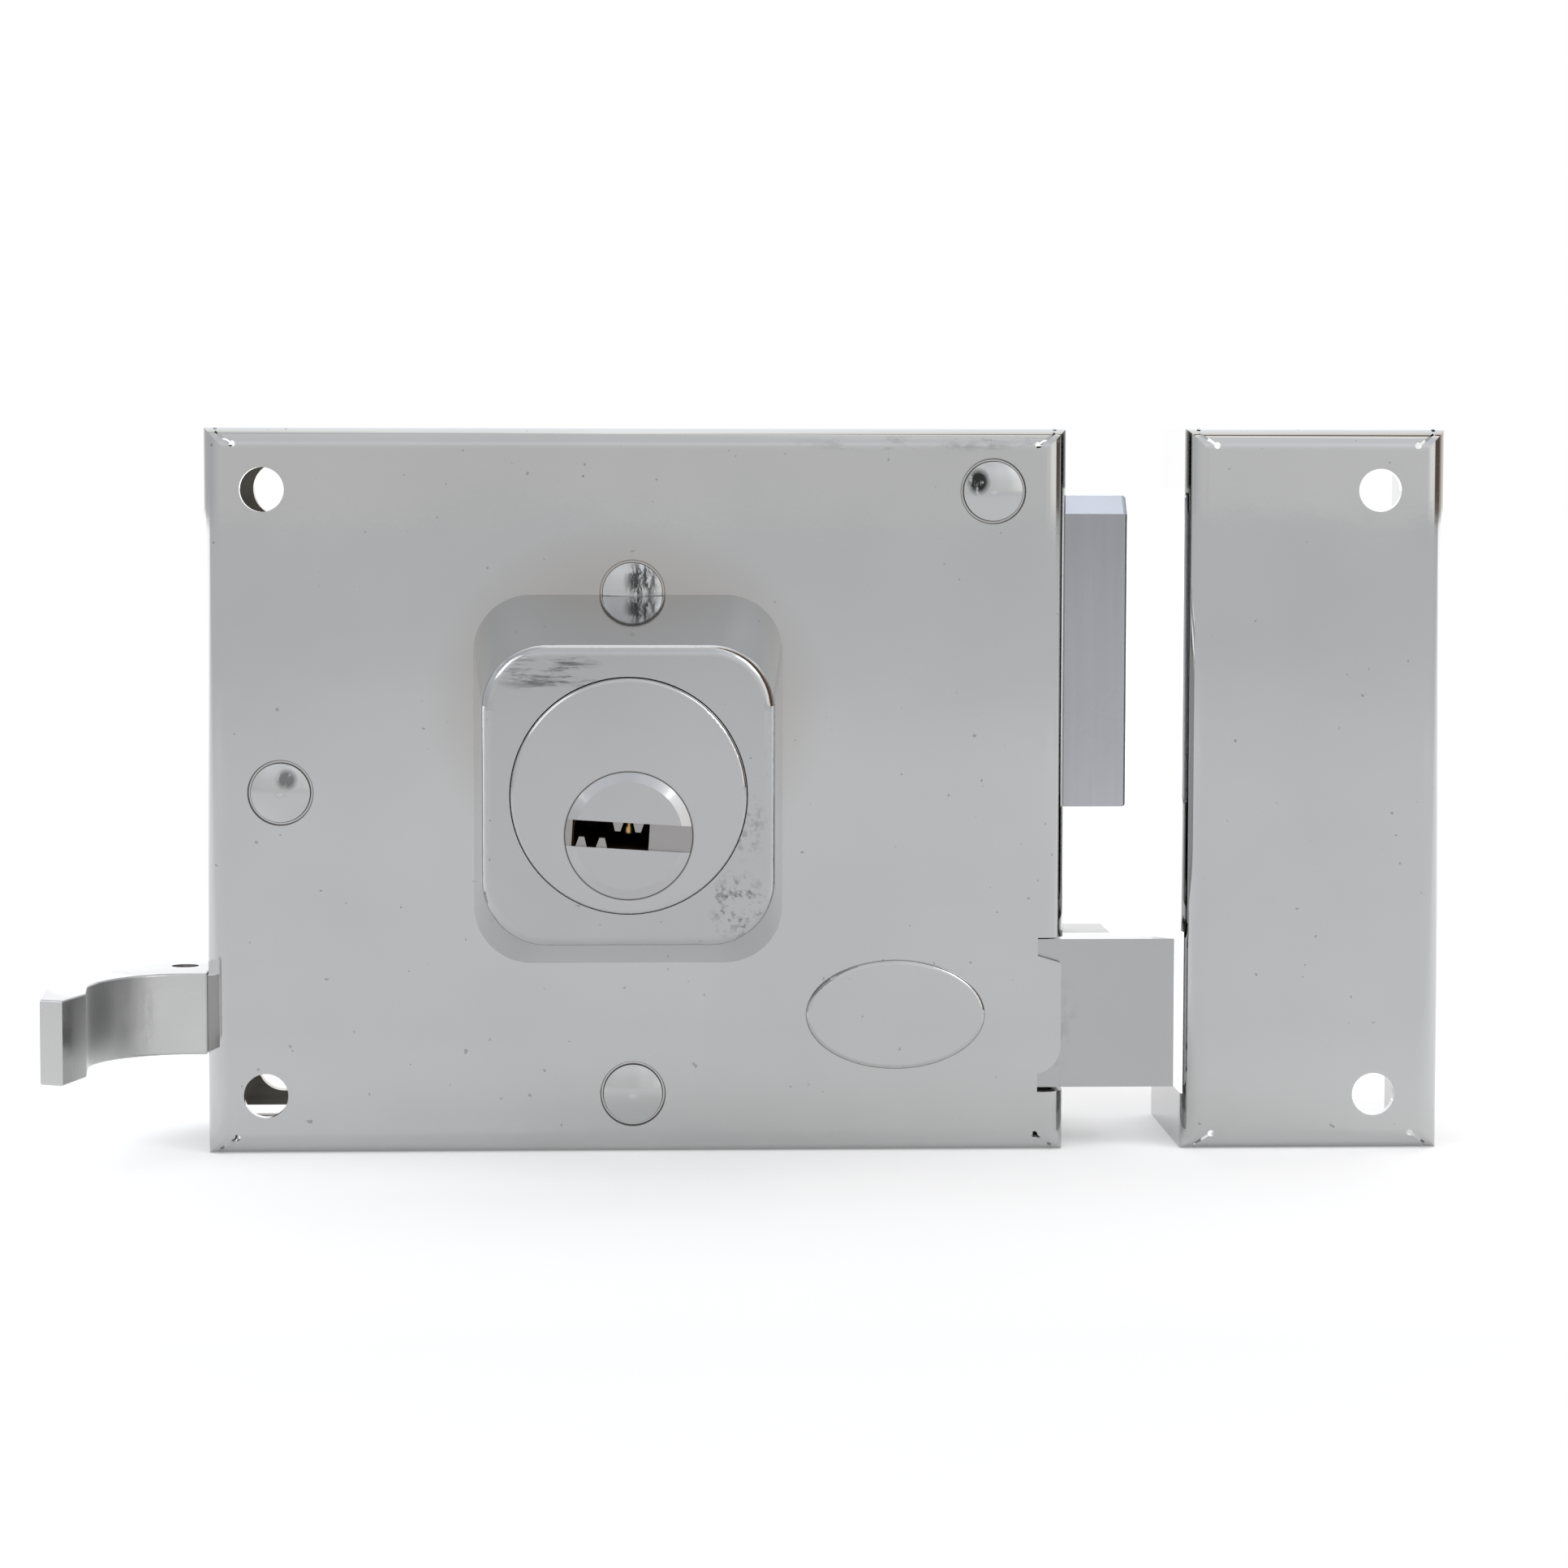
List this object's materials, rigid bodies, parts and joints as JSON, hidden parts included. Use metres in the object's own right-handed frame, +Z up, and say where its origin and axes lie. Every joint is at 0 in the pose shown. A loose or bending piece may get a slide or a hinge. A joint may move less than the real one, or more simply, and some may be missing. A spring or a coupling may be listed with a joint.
{
  "type": "rim box lock",
  "caption": "Surface-mounted door lock in a pressed steel case, with a tapered cylinder escutcheon, deadbolt, bevelled latch, finger pull and box strike.",
  "frame": {"origin": "on the cylinder plug's axis, in the plane of the back plate's rear face, which lies on the door", "axes": "+X towards the door's edge and the strike, +Y into the door, +Z up"},
  "size_m": [0.1942, 0.0645, 0.1015],
  "materials": {
    "case_chrome": "bright plated sheet steel",
    "cast_chrome": "bright plated casting with small scratches",
    "satin_nickel": "satin nickel on brass",
    "bolt_steel": "satin plated steel",
    "zinc_steel": "zinc plated steel",
    "gear_steel": "plain steel, oiled",
    "spring_steel": "drawn spring steel",
    "brass": "turned brass"
  },
  "bodies": {
    "case": {"front_cover": "case_chrome", "back_plate": "zinc_steel", "cover_pillars": "case_chrome", "back_plate_screws": "zinc_steel", "drag_spring": "spring_steel", "drag_spring_rivet": "case_chrome", "cylinder_escutcheon": "cast_chrome", "escutcheon_screws": "zinc_steel", "cylinder_body": "satin_nickel", "cylinder_screws": "zinc_steel", "driver_pins": "brass", "pin_springs": "spring_steel", "chamber_plugs": "brass", "gear_arbor": "zinc_steel", "arbor_clip": "spring_steel", "deadbolt_guide_post": "zinc_steel", "deadbolt_guide_pad": "zinc_steel", "latch_spring": "spring_steel", "spring_bracket": "zinc_steel", "latch_guide_post": "zinc_steel", "strike_box": "case_chrome"},
    "plug": {"cylinder_plug": "satin_nickel", "key_pins": "brass", "plug_clip": "spring_steel", "plug_pinion": "gear_steel", "pinion_clip": "spring_steel"},
    "idler": {"reduction_wheel": "gear_steel", "rack_pinion": "gear_steel"},
    "bolt": {"deadbolt": "bolt_steel", "deadbolt_tail": "gear_steel", "tail_rivets": "zinc_steel"},
    "latch": {"latch_bolt": "bolt_steel", "latch_carrier": "zinc_steel", "latch_rivets": "zinc_steel", "latch_spring_rod": "zinc_steel", "finger_pull": "cast_chrome", "pull_pin": "zinc_steel"}
  },
  "joints": [
    {"name": "plug_turn", "type": "hinge", "parent": "case", "child": "plug", "pos_m": [0, -0.05, 0], "axis": [0, -1, 0], "range_deg": [-363, 363]},
    {"name": "idler_turn", "type": "hinge", "parent": "case", "child": "idler", "pos_m": [0.01732, -0.027, 0.01], "axis": [0, -1, 0], "range_deg": [-121, 121]},
    {"name": "deadbolt_slide", "type": "slide", "parent": "case", "child": "bolt", "axis": [1, 0, 0], "range_m": [-0.00942, 0.00942]},
    {"name": "latch_slide", "type": "slide", "parent": "case", "child": "latch", "axis": [1, 0, 0], "range_m": [-0.0145, 0], "stiffness_N_per_m": 300, "springref_m": 0.013, "deforming": ["latch_spring"]}
  ],
  "couplings": [
    {"joint": "plug_turn", "follows": "deadbolt_slide", "rad_per_m": 666.67},
    {"joint": "idler_turn", "follows": "deadbolt_slide", "rad_per_m": -222.22}
  ]
}
